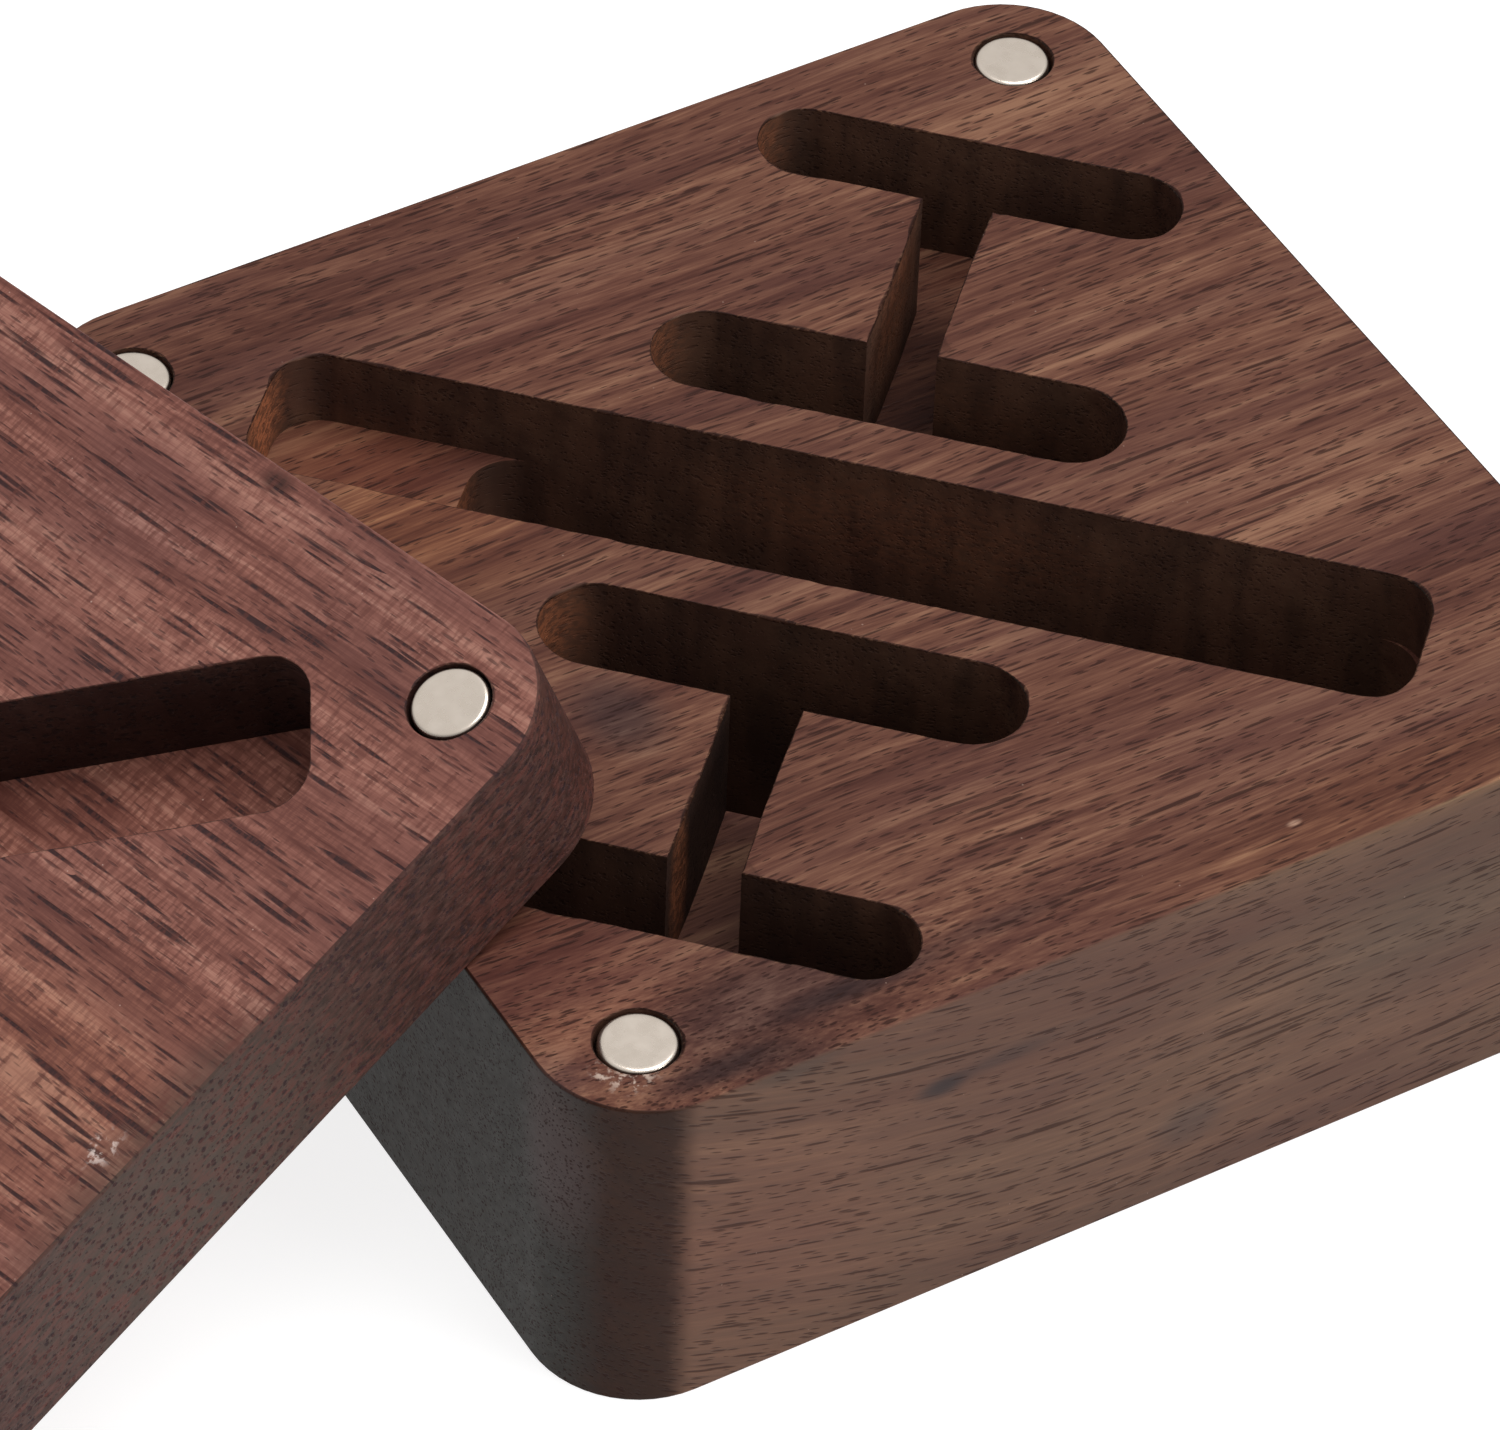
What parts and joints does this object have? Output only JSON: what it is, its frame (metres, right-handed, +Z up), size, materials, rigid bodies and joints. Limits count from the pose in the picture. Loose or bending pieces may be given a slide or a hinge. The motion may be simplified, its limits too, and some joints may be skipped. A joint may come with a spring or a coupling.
{
  "type": "cufflink box",
  "caption": "Square wooden cufflink box with routed pockets for cufflinks and a tie clip, and a lift-off lid held by corner magnets, shown leaning on the base.",
  "frame": {"origin": "centre of the base's underside", "axes": "+Z up, +X along the diagonal of the tie-clip recess towards the right corner, +Y along the diagonal of the cufflink pockets towards the back corner"},
  "size_m": [0.1548, 0.1433, 0.0411],
  "materials": {
    "base_walnut": "oiled, satin",
    "lid_walnut": "oiled, satin",
    "nickel": "nickel plated, satin"
  },
  "bodies": {
    "base": {"base_block": "base_walnut", "base_magnet_back": "nickel", "base_magnet_front": "nickel", "base_magnet_left": "nickel", "base_magnet_right": "nickel"},
    "lid": {"lid_block": "lid_walnut", "lid_magnet_far": "nickel", "lid_magnet_lower": "nickel", "lid_magnet_near": "nickel", "lid_magnet_upper": "nickel"}
  },
  "joints": [
    {"name": "lid_lift", "type": "slide", "parent": "base", "child": "lid", "axis": [0, 0, 1], "range_m": [0, 0.06]}
  ]
}
